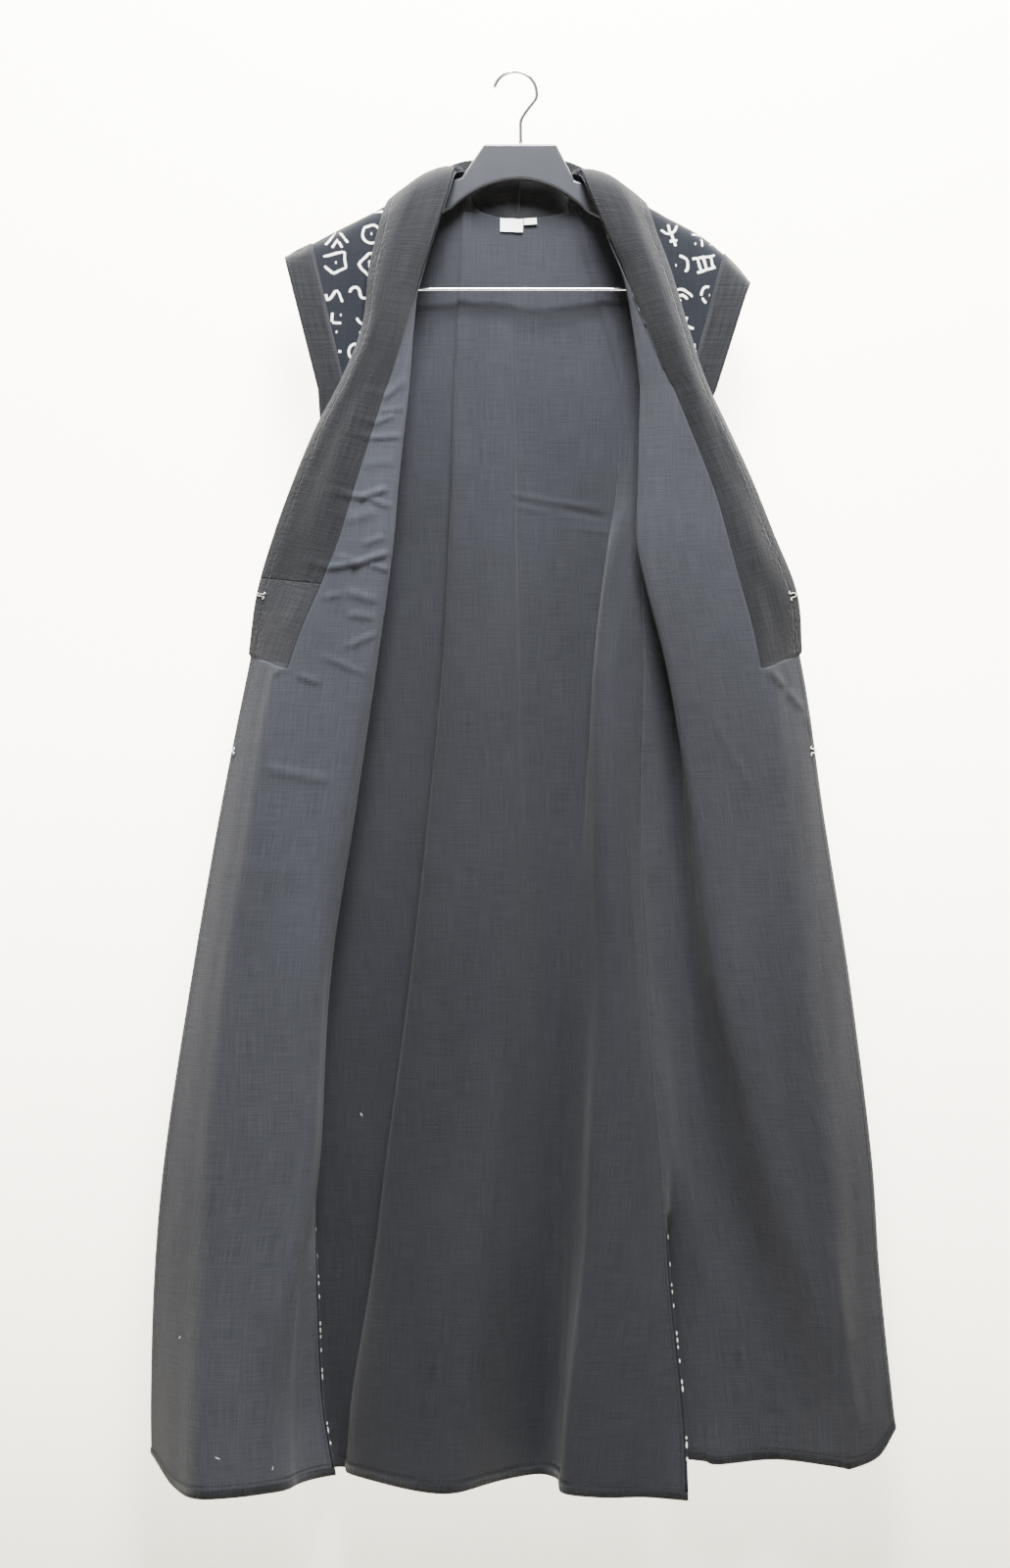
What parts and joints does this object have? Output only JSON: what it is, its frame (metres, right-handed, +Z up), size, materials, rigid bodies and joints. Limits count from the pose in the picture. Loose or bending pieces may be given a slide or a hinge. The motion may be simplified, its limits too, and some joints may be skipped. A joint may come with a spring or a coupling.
{
  "type": "sleeveless duster coat on a hanger",
  "caption": "Long open sleeveless duster coat with a shawl collar, side slits and a printed outer cloth, hung on a moulded hanger with a wire hook.",
  "frame": {"origin": "the point under the top of the hanger's wire hook where it bears on a rail", "axes": "+Z up, +X to the right across the shoulders as the picture shows the coat, +Y behind the coat, away from the viewer"},
  "size_m": [0.7287, 0.1218, 1.3711],
  "materials": {
    "printed_cloth": "matte plain-weave cotton with white painted marks",
    "lining_cloth": "matte fine plain weave, slate",
    "black_cotton": "matte coarse slubby cotton",
    "label_cloth": "smooth white woven tape, blank",
    "hanger_plastic": "satin moulded black",
    "bright_wire": "bright plated steel wire"
  },
  "bodies": {
    "root": {"back_shell": "printed_cloth", "back_lining": "lining_cloth", "front_left_shell": "printed_cloth", "front_left_lining": "lining_cloth", "front_right_shell": "printed_cloth", "front_right_lining": "lining_cloth", "collar_left": "black_cotton", "collar_right": "black_cotton", "armhole_band_front_left": "black_cotton", "armhole_band_front_right": "black_cotton", "armhole_band_back_left": "black_cotton", "armhole_band_back_right": "black_cotton", "hem_back": "black_cotton", "hem_front_left": "black_cotton", "hem_front_right": "black_cotton", "neck_label": "label_cloth", "size_tab": "label_cloth", "hook_upper": "bright_wire", "eye_upper": "bright_wire", "hook_lower": "bright_wire", "eye_lower": "bright_wire", "hanger_body": "hanger_plastic", "hanger_hook": "bright_wire", "hanger_bar": "bright_wire"}
  },
  "joints": []
}
